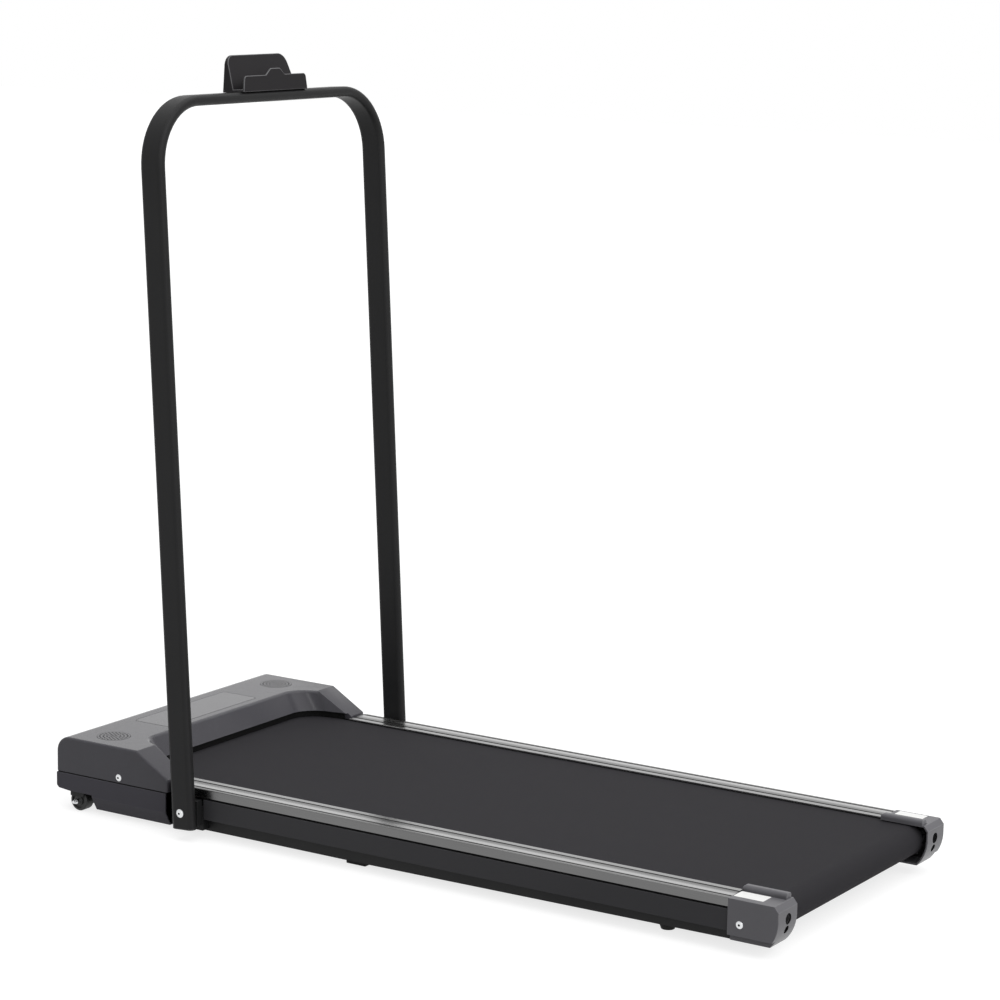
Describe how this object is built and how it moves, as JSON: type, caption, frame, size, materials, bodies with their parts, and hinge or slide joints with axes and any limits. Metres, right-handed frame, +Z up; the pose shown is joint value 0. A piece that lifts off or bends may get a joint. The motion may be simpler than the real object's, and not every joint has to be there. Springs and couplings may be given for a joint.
{
  "type": "walking pad",
  "caption": "Flat motorised walking pad with an endless belt between grooved side rails, a low motor hood and a folding arched hand rail with a phone holder.",
  "frame": {"origin": "middle of the footprint on the floor, under the centre of the bounding box", "axes": "+X to the walker's right, +Y forward to the motor hood, +Z up"},
  "size_m": [0.5422, 1.174, 1.0799],
  "materials": {
    "frame_black": "satin powder coat",
    "deck_wood": "smooth laminated board",
    "rubber_black": "matte",
    "belt_rubber": "fine textured, matte",
    "rail_aluminium": "brushed, anodised dark grey",
    "cap_plastic": "fine textured",
    "hood_plastic": "fine textured",
    "cover_plastic": "fine textured",
    "bright_steel": "bright zinc plate",
    "plain_steel": "ground",
    "motor_paint": "satin",
    "pulley_metal": "machined",
    "board_green": "solder mask",
    "window_smoke": "satin smoked",
    "part_plastic": "moulded",
    "nylon": "natural"
  },
  "bodies": {
    "base": {"left_frame_channel": "frame_black", "right_frame_channel": "frame_black", "cross_members": "frame_black", "deck_board": "deck_wood", "deck_cushions": "rubber_black", "running_belt": "belt_rubber", "rear_axle": "plain_steel", "front_axle": "plain_steel", "front_axle_plates": "plain_steel", "tension_brackets": "plain_steel", "left_side_rail": "rail_aluminium", "right_side_rail": "rail_aluminium", "left_side_skirt": "cover_plastic", "right_side_skirt": "cover_plastic", "left_end_cap": "cap_plastic", "right_end_cap": "cap_plastic", "end_cap_screws": "bright_steel", "motor_hood": "hood_plastic", "hood_screws": "bright_steel", "display_window": "window_smoke", "display_board": "board_green", "speaker_grilles": "hood_plastic", "speakers": "part_plastic", "lower_cover": "cover_plastic", "motor_tray": "plain_steel", "drive_motor": "motor_paint", "motor_cradle": "plain_steel", "drive_belt": "rubber_black", "motor_controller": "part_plastic", "heat_sink": "pulley_metal", "mains_inlet": "part_plastic", "switch_housing": "part_plastic", "wheel_screws": "bright_steel", "wheel_brackets": "frame_black", "middle_feet": "rubber_black", "rear_feet": "rubber_black", "left_handle_bracket": "frame_black", "right_handle_bracket": "frame_black", "pivot_bolts": "bright_steel", "pivot_nuts": "bright_steel"},
    "handle": {"hand_rail": "frame_black", "handle_plugs": "part_plastic", "phone_holder": "part_plastic", "holder_screws": "bright_steel", "pivot_bushes": "nylon"},
    "drive_roller": {"front_roller": "plain_steel", "front_roller_bearings": "plain_steel", "roller_pulley": "pulley_metal"},
    "tail_roller": {"rear_roller": "plain_steel", "rear_roller_bearings": "plain_steel"},
    "motor_rotor": {"motor_shaft": "plain_steel", "motor_pulley": "pulley_metal"},
    "left_wheel": {"left_transport_wheel": "part_plastic"},
    "right_wheel": {"right_transport_wheel": "part_plastic"},
    "rocker": {"switch_rocker": "part_plastic"},
    "left_tensioner": {"left_tension_bolt": "bright_steel"},
    "right_tensioner": {"right_tension_bolt": "bright_steel"}
  },
  "joints": [
    {"name": "handle_fold", "type": "hinge", "parent": "base", "child": "handle", "pos_m": [0, 0.338, 0.041], "axis": [1, 0, 0], "range_deg": [0, 93.3]},
    {"name": "drive_roller_spin", "type": "hinge", "parent": "base", "child": "drive_roller", "pos_m": [0, 0.478, 0.0475], "axis": [1, 0, 0], "continuous": true},
    {"name": "tail_roller_spin", "type": "hinge", "parent": "base", "child": "tail_roller", "pos_m": [0, -0.554, 0.0475], "axis": [1, 0, 0], "continuous": true},
    {"name": "motor_spin", "type": "hinge", "parent": "base", "child": "motor_rotor", "pos_m": [0, 0.547, 0.066], "axis": [1, 0, 0], "continuous": true},
    {"name": "left_wheel_spin", "type": "hinge", "parent": "base", "child": "left_wheel", "pos_m": [-0.2275, 0.552, 0.015], "axis": [1, 0, 0], "continuous": true},
    {"name": "right_wheel_spin", "type": "hinge", "parent": "base", "child": "right_wheel", "pos_m": [0.2275, 0.552, 0.015], "axis": [1, 0, 0], "continuous": true},
    {"name": "power_rocker", "type": "hinge", "parent": "base", "child": "rocker", "pos_m": [0.168, 0.5822, 0.073], "axis": [1, 0, 0], "range_deg": [0, 16]},
    {"name": "left_tension_turn", "type": "hinge", "parent": "base", "child": "left_tensioner", "pos_m": [-0.2155, -0.554, 0.0475], "axis": [0, 1, 0], "continuous": true},
    {"name": "right_tension_turn", "type": "hinge", "parent": "base", "child": "right_tensioner", "pos_m": [0.2155, -0.554, 0.0475], "axis": [0, 1, 0], "continuous": true}
  ],
  "couplings": [
    {"joint": "tail_roller_spin", "follows": "drive_roller_spin", "ratio": 1},
    {"joint": "motor_spin", "follows": "drive_roller_spin", "ratio": 3}
  ]
}
